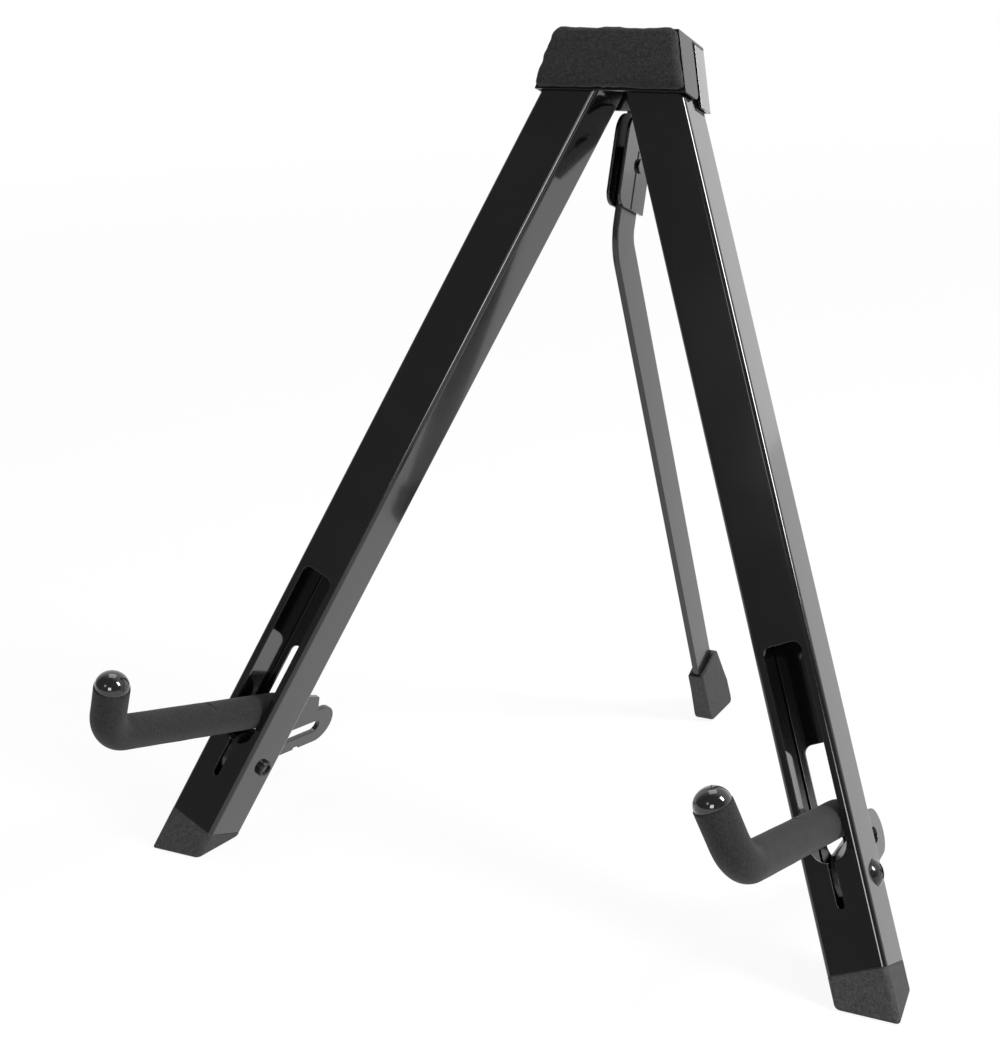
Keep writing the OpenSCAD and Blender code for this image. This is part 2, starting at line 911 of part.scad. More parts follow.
leg_tube(-1);  // left_leg_tube
leg_tube(1);  // right_leg_tube
foot_plug(-1);  // left_foot_plug
foot_plug(1);  // right_foot_plug
pivot_screw(-1);  // left_pivot_screw
pivot_screw(1);  // right_pivot_screw
pivot_nut(-1);  // left_pivot_nut
pivot_nut(1);  // right_pivot_nut
bush(-1, 1);  // left_outer_bush
bush(1, 1);  // right_outer_bush
bush(-1, -1);  // left_inner_bush
bush(1, -1);  // right_inner_bush
arm_plate(-1);  // left_arm_plate
arm_plate(1);  // right_arm_plate
arm_rod(-1);  // left_arm_rod
arm_rod(1);  // right_arm_rod
foam_sleeve(-1);  // left_foam_sleeve
foam_sleeve(1);  // right_foam_sleeve
end_cap(-1);  // left_end_cap
end_cap(1);  // right_end_cap
head_front_shell();
head_rear_shell();
head_pad();
leg_rivet(-1);  // left_leg_rivet
leg_rivet(1);  // right_leg_rivet
rear_bracket();
rear_leg_pin();
rear_leg_bar();
rear_boot();
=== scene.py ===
# %% [markdown]
# # Dressing a folding guitar stand
# The stand comes in as solid parts at their real size: two slotted box legs, a folded sheet
# head, a flat rear leg and two cradle arms. This lesson gives each part its finish and
# replaces the parts that are soft or moulded by meshes with rounder forms. Nothing here
# moves or resizes a rigid part, so the stand still folds as it was designed.

import json
import math

import bmesh
import bpy
from mathutils import Matrix, Vector, noise


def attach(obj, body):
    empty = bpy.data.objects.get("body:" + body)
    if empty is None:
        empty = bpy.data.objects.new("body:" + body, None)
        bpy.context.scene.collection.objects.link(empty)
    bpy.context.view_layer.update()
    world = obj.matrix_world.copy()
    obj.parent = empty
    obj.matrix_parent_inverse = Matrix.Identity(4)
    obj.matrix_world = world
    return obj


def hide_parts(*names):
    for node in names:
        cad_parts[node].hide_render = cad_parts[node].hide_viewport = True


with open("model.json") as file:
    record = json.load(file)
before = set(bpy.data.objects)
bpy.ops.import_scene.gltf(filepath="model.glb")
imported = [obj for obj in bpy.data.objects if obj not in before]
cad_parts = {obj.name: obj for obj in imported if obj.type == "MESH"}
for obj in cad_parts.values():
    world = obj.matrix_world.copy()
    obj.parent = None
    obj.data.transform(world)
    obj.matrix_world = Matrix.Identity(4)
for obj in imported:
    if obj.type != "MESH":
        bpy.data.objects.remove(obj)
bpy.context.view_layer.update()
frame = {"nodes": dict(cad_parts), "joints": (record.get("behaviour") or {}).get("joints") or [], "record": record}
MM = 0.001
SIDES = {"left": -1, "right": 1}

# %% [markdown]
# ## Where things are
# Two frames of reference help. The head's frame lies in the leaning plane of the legs, with
# its origin halfway between the leg rivets. An arm's frame has its origin at the cross
# screw, with one axis forward and one up the leg. The arm slides out along its plate's
# slot, 17 degrees below forward, so the slide's axis is turned back by that much. Both
# frames could be typed in, but they are read from the joints, so that the soft parts follow
# the solid ones if the stand's lean or spread is changed.

# %% Frames read from the joints
joints = {joint["name"]: joint for joint in frame["joints"]}
SLOT_TILT = math.radians(17)


def frame_matrix(origin, x_axis, y_axis, z_axis):
    """A matrix that takes a point written in a local frame to the stand's frame."""
    matrix = Matrix((x_axis, y_axis, z_axis)).transposed().to_4x4()
    matrix.translation = origin
    return matrix


def head_frame():
    """x to the right, y back from the front, z up the leaning plane."""
    left = joints["left_leg_fold"]
    right = joints["right_leg_fold"]
    origin = (Vector(left["pos_m"]) + Vector(right["pos_m"])) / 2
    back = -Vector(left["axis"]).normalized()
    right_way = Vector((1, 0, 0))
    return frame_matrix(origin, right_way, back, right_way.cross(back))


def arm_frame(side):
    """x forward from the leg, y up the leg, z across it."""
    swing = joints[side + "_arm_swing"]
    out = Vector(joints[side + "_arm_slide"]["axis"]).normalized()
    across = Vector(swing["axis"]).normalized()
    lift = across.cross(out)
    forward = out * math.cos(SLOT_TILT) + lift * math.sin(SLOT_TILT)
    up = lift * math.cos(SLOT_TILT) - out * math.sin(SLOT_TILT)
    return frame_matrix(Vector(swing["pos_m"]), forward, up, across)


head_place = head_frame()
arm_places = {side: arm_frame(side) for side in SIDES}
print("head at", [round(v, 4) for v in head_place.translation])

# %% [markdown]
# ## The camera
# The camera stands where the photograph was taken from: in front of the stand, to the right
# and above it. Its place and lens were worked out from the straight edges of the legs, and
# angles describe its direction better than a point to look at, because it is also rolled.

# %% Camera
CAMERA_PLACE = Vector((0.3784, -0.7622, 0.4417))
AZIMUTH = math.radians(28.64)
ELEVATION = math.radians(18.71)
ROLL = math.radians(-2.18)
LENS_MM = 70.3
SENSOR_MM = 36


def make_camera():
    """Points a camera by its azimuth, elevation and roll."""
    flat = math.cos(ELEVATION)
    back = Vector((math.sin(AZIMUTH) * flat, -math.cos(AZIMUTH) * flat, math.sin(ELEVATION)))
    level = Vector((math.cos(AZIMUTH), math.sin(AZIMUTH), 0))
    rise = back.cross(level)
    right = level * math.cos(ROLL) + rise * math.sin(ROLL)
    up = rise * math.cos(ROLL) - level * math.sin(ROLL)
    data = bpy.data.cameras.new("camera")
    data.lens = LENS_MM
    data.sensor_width = SENSOR_MM
    camera = bpy.data.objects.new("camera", data)
    camera.matrix_world = frame_matrix(CAMERA_PLACE, right, up, back)
    bpy.context.scene.collection.objects.link(camera)
    bpy.context.scene.camera = camera


make_camera()
print("camera", round(CAMERA_PLACE.length, 2), "m from the stand's middle, lens", LENS_MM, "mm")

# %% [markdown]
# ## Writing shaders as sums
# A finish is a small network of nodes. Written out node by node it is hard to read, so one
# class stands for a value in the network. Adding or multiplying two of them adds a Math
# node, and any other node comes from one method that takes its type, settings and inputs.
# Materials and the world are both such networks. A material has a few patterns on top.

# %% A value in a network
class Value:
    """One output in a network of nodes, which can be used in sums."""

    def __init__(self, network, socket):
        self.network = network
        self.socket = socket

    def sum(self, operation, first, second):
        settings = {"operation": operation}
        return self.network.node("ShaderNodeMath", settings, {0: first, 1: second})

    def __add__(self, other):
        return self.sum("ADD", self, other)

    def __mul__(self, other):
        return self.sum("MULTIPLY", self, other)

    __radd__ = __add__
    __rmul__ = __mul__

    def __sub__(self, other):
        return self.sum("SUBTRACT", self, other)

    def __rsub__(self, other):
        return self.sum("SUBTRACT", other, self)

    def at_least(self, other):
        return self.sum("MAXIMUM", self, other)

    def step(self, low, high):
        """Runs from 0 to 1 as the value goes from low to high."""
        inputs = {"Value": self, "From Min": low, "From Max": high}
        settings = {"interpolation_type": "SMOOTHSTEP"}
        return self.network.node("ShaderNodeMapRange", settings, inputs)


# %% A network and its nodes
class Network:
    """A tree of nodes that is built by calls."""

    def __init__(self, tree):
        self.tree = tree

    def node(self, kind, settings=None, inputs=None, output=0):
        made = self.tree.nodes.new(kind)
        for name, value in (settings or {}).items():
            setattr(made, name, value)
        for name, value in (inputs or {}).items():
            self.feed(made.inputs[name], value)
        return Value(self, made.outputs[output])

    def feed(self, socket, value):
        if isinstance(value, Value):
            self.tree.links.new(value.socket, socket)
        else:
            socket.default_value = value


# %% A finish
class Finish(Network):
    """The network of a material, with the patterns that the finishes here use."""

    def __init__(self, name):
        self.material = bpy.data.materials.new(name)
        self.material.use_nodes = True
        super().__init__(self.material.node_tree)
        self.shader = self.tree.nodes["Principled BSDF"]

    def shade(self, **inputs):
        """Feeds the main shader. Names are its inputs with _ for a space."""
        for name, value in inputs.items():
            self.feed(self.shader.inputs[name.replace("_", " ")], value)
        return self.material

    def place(self):
        return self.node("ShaderNodeTexCoord", output="Object")

    def noise(self, cell_mm, detail=3.0, rough=0.55):
        """Noise between 0 and 1 whose blobs are about cell_mm across."""
        inputs = {"Vector": self.place(), "Scale": 1000 / cell_mm}
        inputs.update({"Detail": detail, "Roughness": rough})
        return self.node("ShaderNodeTexNoise", {}, inputs, output="Fac")

    def cells(self, cell_mm):
        """Distance to the nearest of many scattered points, in cells."""
        inputs = {"Vector": self.place(), "Scale": 1000 / cell_mm}
        return self.node("ShaderNodeTexVoronoi", {}, inputs, output="Distance")

    def mix(self, share, low, high):
        """Blends two colours by a share between 0 and 1."""
        settings = {"data_type": "RGBA"}
        return self.node("ShaderNodeMix", settings, {0: share, 6: low, 7: high}, output=2)

    def bump(self, height, depth_mm, strength=1.0):
        inputs = {"Height": height, "Distance": depth_mm * MM, "Strength": strength}
        return self.node("ShaderNodeBump", {}, inputs)


def grey(level, warmth=0.0):
    """A nearly neutral colour, a touch warm if warmth is above 0."""
    return (level * (1 + warmth), level, level * (1 - warmth), 1)


# %% [markdown]
# ## Gloss black paint
# The legs and the head are sprayed and baked. Such paint is nearly black and mirrors the
# room faintly, with the slow ripple of orange peel, a haze of fine dust and a few grains
# caught in it. The ripple is a bump of about three millimetres' pitch and a few
# thousandths of a millimetre's height. The dust only lifts the colour and roughness. An
# image of painted steel could be laid on, but noise that is worked out from the place on
# the part needs no unwrapping and never repeats. The head's shells get two copies of it:
# darker and duller in front as painted shade, lighter and glossier behind as painted light.

# %% Paints
def paint(name, black, shine, peel_mm, coat=0.5, mirror=0.38):
    """Sprayed paint: black is its level, shine its roughness where it is clean."""
    made = Finish(name)
    dust = made.noise(0.9, detail=4, rough=0.8).step(0.7, 0.84)
    haze = made.noise(45, detail=2).step(0.35, 0.8)
    ripple = made.noise(2.6, detail=1, rough=0.4)
    colour = made.mix(dust * 0.3 + haze * 0.1, grey(black), grey(black * 3 + 0.008, 0.03))
    return made.shade(
        Base_Color=colour,
        Roughness=haze * 0.05 + dust * 0.15 + shine,
        Specular_IOR_Level=mirror,
        Coat_Weight=coat,
        Coat_Roughness=0.05,
        Normal=made.bump(ripple, peel_mm, 0.6),
    )


gloss_black = paint("gloss_black", black=0.0035, shine=0.11, peel_mm=0.005)
satin_black = paint("satin_black", black=0.007, shine=0.27, peel_mm=0.014)
# Copies of one paint for the head: darker in front as painted shade, lighter and more mirroring behind as painted
# light.
shaded_front_black = paint("shaded_front_black", black=0.004, shine=0.2, peel_mm=0.01, coat=0.1, mirror=0.3)
lit_rear_black = paint("lit_rear_black", black=0.006, shine=0.12, peel_mm=0.006, coat=1.0, mirror=0.8)
print("paints:", [made.name for made in (gloss_black, satin_black, shaded_front_black, lit_rear_black)])

# %% [markdown]
# ## Black oxide, lacquer, nylon and caps
# Nuts and rivets are blacked steel: metal under a thin dark film that rubs off where it is
# handled. The cross screws are lacquered over that, so they are smooth and darker. The
# bushes are plain nylon. The caps are hard, shiny plastic with a few scuffs. One noise
# blends two colours in each of them, so that no surface is one flat value.

# %% Hardware
def black_oxide():
    """Blacked steel, rubbed to bare metal in spots."""
    made = Finish("black_oxide")
    rubbed = made.noise(1.6, detail=4).step(0.55, 0.8)
    return made.shade(
        Base_Color=made.mix(rubbed, grey(0.012), grey(0.06, 0.02)),
        Metallic=rubbed * 0.4 + 0.25,
        Roughness=0.34 - rubbed * 0.1,
        Normal=made.bump(made.noise(0.5, detail=2), 0.01, 0.5),
    )


def screw_black():
    """Blacked and lacquered: smooth and dark, a little rubbed round the recess."""
    made = Finish("screw_black")
    rubbed = made.noise(1.1, detail=4).step(0.6, 0.85)
    return made.shade(
        Base_Color=made.mix(rubbed, grey(0.006), grey(0.03, 0.02)),
        Roughness=rubbed * 0.15 + 0.16,
        Specular_IOR_Level=0.3,
        Coat_Weight=0.5,
        Coat_Roughness=0.04,
        Normal=made.bump(made.noise(0.7, detail=2), 0.006, 0.5),
    )


oxide = black_oxide()
lacquered = screw_black()
print("hardware:", oxide.name, lacquered.name)

# %% Hard plastics
def nylon():
    """Plain black nylon with a faint grain."""
    made = Finish("nylon")
    grain = made.noise(0.8)
    return made.shade(
        Base_Color=made.mix(grain, grey(0.03), grey(0.045)),
        Roughness=grain * 0.1 + 0.4,
        Normal=made.bump(grain, 0.01, 0.4),
    )


def cap_gloss():
    """Shiny plastic; a scuff lifts its colour and dulls it."""
    made = Finish("cap_gloss")
    scuffs = made.noise(0.7, detail=5, rough=0.8).step(0.6, 0.8)
    return made.shade(
        Base_Color=made.mix(scuffs, grey(0.006), grey(0.02)),
        Roughness=scuffs * 0.2 + 0.07,
        Coat_Weight=0.5,
        Coat_Roughness=0.05,
        Normal=made.bump(made.noise(3, detail=1), 0.01, 0.3),
    )


nylon_black = nylon()
cap_plastic = cap_gloss()
print("plastics:", nylon_black.name, cap_plastic.name)

# %% [markdown]
# ## Foam and rubber
# The sleeves are closed-cell foam with a fine skin: matt charcoal, slightly mottled, with
# pores less than half a millimetre wide. The head's pad is the same foam, cut rather than
# moulded, so its face is coarser. Foam this dark owes most of its grey to the light on its
# skin, so its mirror level is kept low. The feet are rubber from a mould whose face was
# roughened by sparks, and the rubber took on the grain.

# %% Soft finishes
def foam(name, level, pore_mm, depth_mm, mottle_mm):
    """Matt foam: pores darkened as painted shade, a mottle of a coarser pitch and a soft sheen at the edges."""
    made = Finish(name)
    # The pores are low in the bump and dark in colour: the dark is painted shade in the hollows.
    pore_depth_and_shade = made.cells(pore_mm).step(0.1, 0.6)
    mottle = made.noise(mottle_mm, detail=4, rough=0.65).step(0.32, 0.68)
    fine = made.noise(pore_mm * 1.7, detail=3, rough=0.7)
    height = pore_depth_and_shade * 0.5 + fine * 0.3 + mottle * 0.4
    tone = made.mix(mottle * 0.6 + fine * 0.4, grey(level * 0.4), grey(level * 1.9, 0.01))
    return made.shade(
        Base_Color=made.mix(pore_depth_and_shade, grey(level * 0.3), tone),
        Roughness=fine * 0.12 + 0.74,
        Specular_IOR_Level=0.18,
        Sheen_Weight=0.06,
        Sheen_Roughness=0.5,
        Normal=made.bump(height, depth_mm, 0.7),
    )


def moulded_rubber():
    """Rubber with the fine grain of its mould, and a little dust in it."""
    made = Finish("moulded_rubber")
    grain = made.noise(0.7, detail=3, rough=0.75).step(0.3, 0.7)
    dusty = made.noise(1.6, detail=3, rough=0.7).step(0.35, 0.75)
    return made.shade(
        Base_Color=made.mix(dusty * 0.4 + grain * 0.6, grey(0.006), grey(0.05, 0.01)),
        Roughness=grain * 0.15 + 0.5,
        Specular_IOR_Level=0.34,
        Normal=made.bump(grain, 0.09, 0.8),
    )


sleeve_foam = foam("sleeve_foam", 0.015, pore_mm=0.4, depth_mm=0.08, mottle_mm=0.9)
pad_foam = foam("pad_foam", 0.015, pore_mm=0.8, depth_mm=0.26, mottle_mm=1.3)
rubber = moulded_rubber()
print("soft finishes:", sleeve_foam.name, pad_foam.name, rubber.name)

# %% [markdown]
# ## Rounding the edges of rigid parts
# A real edge is never perfectly sharp: it catches a thin line of light. Parts whose form is
# right are copied as they are, and the copy's sharp edges are rounded by a fraction of a
# millimetre. A shader could fake this, but a real rounding also shows in the outline and in
# the mesh itself. The edges that stand on the floor can be rounded more, as on a moulded
# foot. The shading is then weighted by the area of the faces, so that flat sheet looks
# flat. The copy stands for the solid and rides on the same body.

# %% Copies with clean faces
SAME_POINT = 2e-6
SAME_PLANE = math.radians(0.6)


def clean_copy(node):
    """A copy of a part's mesh, with its flat faces joined up."""
    mesh = frame["nodes"][node].data.copy()
    mesh.name = node + "_eased"
    work = bmesh.new()
    work.from_mesh(mesh)
    bmesh.ops.remove_doubles(work, verts=work.verts, dist=SAME_POINT)
    bmesh.ops.dissolve_limit(work, angle_limit=SAME_PLANE, verts=work.verts, edges=work.edges)
    work.to_mesh(mesh)
    work.free()
    return mesh


# %% Edge rounding
SHARP = math.radians(32)
NEAR_FLOOR = 0.5 * MM
LEAST_WIDTH = 0.01
SEGMENTS = 2
FOOT_SEGMENTS = 4


def weigh_edges(mesh, width_mm, widest_mm):
    """Marks each sharp edge with its share of the widest rounding."""
    work = bmesh.new()
    work.from_mesh(mesh)
    weights = work.edges.layers.float.new("bevel_weight_edge")
    for edge in work.edges:
        edge.smooth = edge.calc_face_angle(math.pi) < SHARP
        if not edge.smooth:
            on_floor = max(vertex.co.z for vertex in edge.verts) < NEAR_FLOOR
            edge[weights] = 1.0 if on_floor else width_mm / widest_mm
    work.to_mesh(mesh)
    work.free()


def eased_copy(node, material, width_mm, floor_mm):
    """Makes the copy, rounds its sharp edges and weights its shading."""
    mesh = clean_copy(node)
    widest_mm = max(floor_mm, width_mm, LEAST_WIDTH)
    weigh_edges(mesh, width_mm, widest_mm)
    piece = bpy.data.objects.new(node + "_eased", mesh)
    bpy.context.scene.collection.objects.link(piece)
    mesh.materials.clear()
    mesh.materials.append(material)
    for face in mesh.polygons:
        face.use_smooth = True
    if width_mm:
        rounding = piece.modifiers.new("rounding", "BEVEL")
        rounding.width = widest_mm * MM
        rounding.segments = FOOT_SEGMENTS if floor_mm else SEGMENTS
        rounding.limit_method = "WEIGHT"
        rounding.use_clamp_overlap = False
    shading = piece.modifiers.new("shading", "WEIGHTED_NORMAL")
    shading.weight = 100
    shading.keep_sharp = not width_mm
    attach(piece, node_body[node])
    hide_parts(node)


# %% Rigid parts
node_body = {}
for body, nodes in frame["record"]["behaviour"]["bodies"].items():
    node_body.update(dict.fromkeys(nodes, body))


def finish_parts(material, widths, floor_mm=0.0):
    """Eases several parts; widths gives the rounding of each in millimetres."""
    for node, width_mm in widths.items():
        eased_copy(node, material, width_mm, floor_mm)
    print(material.name, "on", ", ".join(widths))


for side in SIDES:
    finish_parts(gloss_black, {side + "_leg_tube": 0.25})
    finish_parts(rubber, {side + "_foot_plug": 0.3}, floor_mm=1.3)
    finish_parts(satin_black, {side + "_arm_plate": 0.3, side + "_arm_rod": 0})
    finish_parts(lacquered, {side + "_pivot_screw": 0.15})
    finish_parts(oxide, {side + "_pivot_nut": 0.2, side + "_leg_rivet": 0})
    finish_parts(nylon_black, {side + "_outer_bush": 0.2, side + "_inner_bush": 0.2})
finish_parts(shaded_front_black, {"head_front_shell": 0.3})
finish_parts(lit_rear_black, {"head_rear_shell": 0.3})
finish_parts(gloss_black, {"rear_bracket": 0.3, "rear_leg_pin": 0.2})
finish_parts(satin_black, {"rear_leg_bar": 0.4})
finish_parts(rubber, {"rear_boot": 0.8})

# %% [markdown]
# ## Meshes from rings
# The soft and moulded parts are swept: a ring of points is carried along a line, and the
# rings are joined. A curve with a bevel would give a tube too, but only rings let the
# radius change both along the tube and round it. One helper joins a list of rings, with its
# ends filled or joined to each other, and another makes a smooth object that rides on a
# body.

# %% Building a mesh from rings
def join_rings(rings, looped=False):
    """Quads between rings of equal length, with the ends filled or joined to each other."""
    count = len(rings[0])
    vertices = [point for ring in rings for point in ring]
    last = len(rings) if looped else len(rings) - 1
    faces = []
    for i in range(last):
        here = i * count
        there = (i + 1) % len(rings) * count
        for k in range(count):
            nxt = (k + 1) % count
            faces.append((here + k, here + nxt, there + nxt, there + k))
    if not looped:
        faces.append(tuple(range(count - 1, -1, -1)))
        faces.append(tuple(range((len(rings) - 1) * count, len(rings) * count)))
    return vertices, faces


def new_piece(name, vertices, faces, material, body):
    """Makes a smooth-shaded object that rides on a body."""
    mesh = bpy.data.meshes.new(name)
    mesh.from_pydata([tuple(v) for v in vertices], [], faces)
    mesh.validate()
    mesh.update()
    piece = bpy.data.objects.new(name, mesh)
    bpy.context.scene.collection.objects.link(piece)
    mesh.materials.append(material)
    for face in mesh.polygons:
        face.use_smooth = True
    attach(piece, body)
    print(name, "has", len(faces), "faces and rides on", body)
    return piece


# %% [markdown]
# ## The line of an arm
# The rod runs straight out of its leg, bends up and ends in a short hook, so its line is a
# straight, an arc and a straight. A place on it is given by the distance along it. The
# plate has a little play in its guide slits, and the weight of the arm lets it droop and
# turn inwards by a fraction of a degree, so the line is turned by as much.

# %% Line of the rod
ROD_RISE = 23.4
ROD_DIP = math.radians(5.5)
ROD_STRAIGHT = 102.0
BEND_RADIUS = 17.0
BEND_ANGLE = math.radians(68)
HOOK = 15.0
SLEEVE_START = -7.0
STRAIGHT_LENGTH = (ROD_STRAIGHT - SLEEVE_START) / math.cos(ROD_DIP)
BEND_LENGTH = BEND_RADIUS * BEND_ANGLE
SLEEVE_LENGTH = STRAIGHT_LENGTH + BEND_LENGTH + HOOK


def rod_line(distance):
    """Place forward and up, and direction, at a distance along the sleeve, in mm."""
    past = distance - STRAIGHT_LENGTH
    turned = min(max(past, 0) / BEND_RADIUS, BEND_ANGLE)
    way = turned - ROD_DIP
    beyond = past if past < 0 else max(past - BEND_LENGTH, 0)
    forward = ROD_STRAIGHT + BEND_RADIUS * (math.sin(ROD_DIP) + math.sin(way))
    up = ROD_RISE - ROD_STRAIGHT * math.tan(ROD_DIP)
    up += BEND_RADIUS * (math.cos(ROD_DIP) - math.cos(way))
    return forward + beyond * math.cos(way), up + beyond * math.sin(way), way


print("sleeve length", round(SLEEVE_LENGTH, 1), "mm")

# %% Rings round the line
TURNED_IN = math.radians(0.6)
LEG_FRONT = 12.0
AROUND = 72


def sleeve_place(side):
    """The arm's frame, turned inwards at the front of the leg."""
    at_leg = Matrix.Translation((LEG_FRONT * MM, 0, 0))
    turn = Matrix.Rotation(-SIDES[side] * TURNED_IN, 4, "Y")
    return arm_places[side] @ at_leg @ turn @ at_leg.inverted()


def ring_at(place, distance, radius_of):
    """Ring of points round the rod's line; angle 0 is the upper side."""
    forward, up, way = rod_line(distance)
    ring = []
    for k in range(AROUND):
        angle = 2 * math.pi * k / AROUND
        radius = radius_of(angle)
        lift = radius * math.cos(angle)
        reach = radius * math.sin(angle)
        point = (forward - lift * math.sin(way), up + lift * math.cos(way), reach)
        ring.append(place @ (Vector(point) * MM))
    return ring


print("arms turned in by", round(math.degrees(TURNED_IN), 1), "degrees")

# %% [markdown]
# ## The foam sleeves
# A sleeve is a foam tube pushed over the bent rod. Round the bend its inner side is
# squeezed into soft folds and its outer side is stretched a little thinner. A small nick
# across its top, rather more than a third of the way out, is where it was eased through
# the leg's slot. These are all small changes of one radius, so they are written as sums of
# humps, and a slow noise makes the foam's face a little lumpy. The radius starts a tenth of
# a millimetre under that of the solid, so that the lumps stay inside it.

# %% Radius of the foam
SLEEVE_RADIUS = 7.7
SKIN_SINK = 0.11
BEND_REACH = 9
LUMP = 0.1
LUMPS_ALONG = 0.09
LUMPS_AROUND = 0.8
SQUEEZE = 0.28
FOLD_DEPTH = 0.16
FOLD_PITCH = 5.2
STRETCH = 0.2
NICK_AT = 54.0
NICK_DEPTH = 1.1
NICK_WIDTH = 0.7
NICK_TURN = 0.3
END_REACH = 1.2
RAG = 0.12
RAG_FINENESS = 6


def hump(distance, centre, width):
    """A smooth bump of height 1 at a centre, in the units of its width."""
    return math.exp(-(((distance - centre) / width) ** 2))


def sleeve_radius(distance, angle, seed):
    """Radius of the foam at a distance along it and an angle round it, 0 on top."""
    bend_middle = STRAIGHT_LENGTH + BEND_LENGTH / 2
    inner = max(math.cos(angle), 0) ** 2
    outer = max(-math.cos(angle), 0) ** 2
    near_bend = hump(distance, bend_middle, BEND_REACH)
    folds = math.cos((distance - bend_middle) * 2 * math.pi / FOLD_PITCH)
    nick = hump(distance, NICK_AT, NICK_WIDTH) * max(math.cos(angle - NICK_TURN), 0) ** 6
    radius = SLEEVE_RADIUS - SKIN_SINK
    radius -= near_bend * inner * (SQUEEZE + FOLD_DEPTH * folds)
    radius -= near_bend * outer * STRETCH
    radius -= NICK_DEPTH * nick
    y = math.cos(angle) * LUMPS_AROUND
    z = math.sin(angle) * LUMPS_AROUND + seed
    spot = Vector((distance * LUMPS_ALONG, y, z))
    ragged = hump(distance, SLEEVE_LENGTH, END_REACH) * noise.noise(spot * RAG_FINENESS)
    return radius + LUMP * noise.noise(spot) + RAG * ragged


print("radius in the nick", round(sleeve_radius(NICK_AT, NICK_TURN, 0), 2), "mm")

# %% Sleeves
STEPS = 220
BORE_STEPS = 24
END_ROLL = 0.9
BORE_RADIUS = 4.05
PLUG_RADIUS = 6.4
PLUG_DEPTH = 5.5
SEED_STEP = 3.7


def make_sleeve(side):
    """Foam tube with rolled ends, a bore for the rod and a pocket for the cap."""
    place = sleeve_place(side)
    seed = SIDES[side] * SEED_STEP
    rings = []
    for i in range(STEPS + 1):
        distance = SLEEVE_LENGTH * i / STEPS
        to_end = min(distance, SLEEVE_LENGTH - distance)
        into_roll = max(END_ROLL - to_end, 0)
        shave = END_ROLL - math.sqrt(max(END_ROLL**2 - into_roll**2, 0))
        rings.append(ring_at(place, distance, lambda a: sleeve_radius(distance, a, seed) - shave))
    pocket = SLEEVE_LENGTH - PLUG_DEPTH
    inside = [(SLEEVE_LENGTH, PLUG_RADIUS), (pocket, PLUG_RADIUS), (pocket, BORE_RADIUS)]
    for i in range(BORE_STEPS):
        inside.append((pocket * (BORE_STEPS - 1 - i) / BORE_STEPS, BORE_RADIUS))
    for distance, radius in inside:
        rings.append(ring_at(place, distance, lambda a: radius))
    vertices, faces = join_rings(rings, looped=True)
    piece = new_piece(side + "_sleeve", vertices, faces, sleeve_foam, side + "_arm")
    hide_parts(side + "_foam_sleeve")


for side in SIDES:
    make_sleeve(side)

# %% [markdown]
# ## The welds
# The rod is slit at its rear end, pushed over the plate's tab and welded along the four
# creases. A weld bead is a row of overlapping ripples, so a thin round line is swept along
# each crease and its radius swells and shrinks with every ripple. Paint covers it.

# %% Weld beads
WELD_REAR = -21.0
WELD_FRONT = -9.0
PLATE_HALF = 1.25
ROD_RADIUS = 4.0
BEAD_RADIUS = 1.15
BEAD_RIPPLE = 0.16
RIPPLE_PITCH = 1.3
BEAD_SUNK = 0.4
BEAD_OFF_PLATE = 0.2
BEAD_STEPS = 40
BEAD_AROUND = 16
END_SHARE = 0.03
BLUNTNESS = 0.3


def bead_radius(share, forward):
    """Radius of a bead, rippled along it and rounded off at its ends."""
    taper = math.sin(math.pi * min(max(share, END_SHARE), 1 - END_SHARE)) ** BLUNTNESS
    return (BEAD_RADIUS + BEAD_RIPPLE * math.cos(forward * 2 * math.pi / RIPPLE_PITCH)) * taper


def make_weld(side, across, above):
    """One bead along the crease between rod and plate."""
    rings = []
    for i in range(BEAD_STEPS + 1):
        forward = WELD_REAR + (WELD_FRONT - WELD_REAR) * i / BEAD_STEPS
        radius = bead_radius(i / BEAD_STEPS, forward)
        up = ROD_RISE - forward * math.tan(ROD_DIP) + above * (ROD_RADIUS - BEAD_SUNK)
        ring = []
        for k in range(BEAD_AROUND):
            angle = 2 * math.pi * k / BEAD_AROUND
            lift = radius * math.cos(angle)
            reach = across * (PLATE_HALF + BEAD_OFF_PLATE) + radius * math.sin(angle)
            ring.append(arm_places[side] @ (Vector((forward, up + lift, reach)) * MM))
        rings.append(ring)
    vertices, faces = join_rings(rings)
    name = f"{side}_weld_{'top' if above > 0 else 'under'}_{'outer' if across > 0 else 'inner'}"
    new_piece(name, vertices, faces, satin_black, side + "_arm")


for side in SIDES:
    for across in (-1, 1):
        for above in (-1, 1):
            make_weld(side, across, above)

# %% [markdown]
# ## The end caps
# Each sleeve ends in a hard plastic cap: a plug in the foam and a nearly round dome that
# covers its cut end. A sphere cut in half would be too tall, so the dome is a profile
# turned about the sleeve's line with the same rings. So smooth a form mirrors each lamp as
# one small bright spot.

# %% Caps
DOME_RADIUS = 7.2
DOME_RISE = 6.2
DOME_STEPS = 24
PLUG_GAP = 0.02
PLUG_END_GAP = 0.1
RIM_DEPTH = 0.5
RIM_UNDERSIDE = [(0.4, -0.35), (0.1, -0.15)]


def cap_profile():
    """Radius and distance beyond the sleeve: the plug, the rim's underside and the dome."""
    plug = PLUG_RADIUS - PLUG_GAP
    profile = [(plug, PLUG_END_GAP - PLUG_DEPTH), (plug, -RIM_DEPTH)]
    profile += [(DOME_RADIUS - inset, beyond) for inset, beyond in RIM_UNDERSIDE]
    for i in range(DOME_STEPS):
        angle = math.pi / 2 * i / DOME_STEPS
        profile.append((DOME_RADIUS * math.cos(angle), DOME_RISE * math.sin(angle)))
    return profile


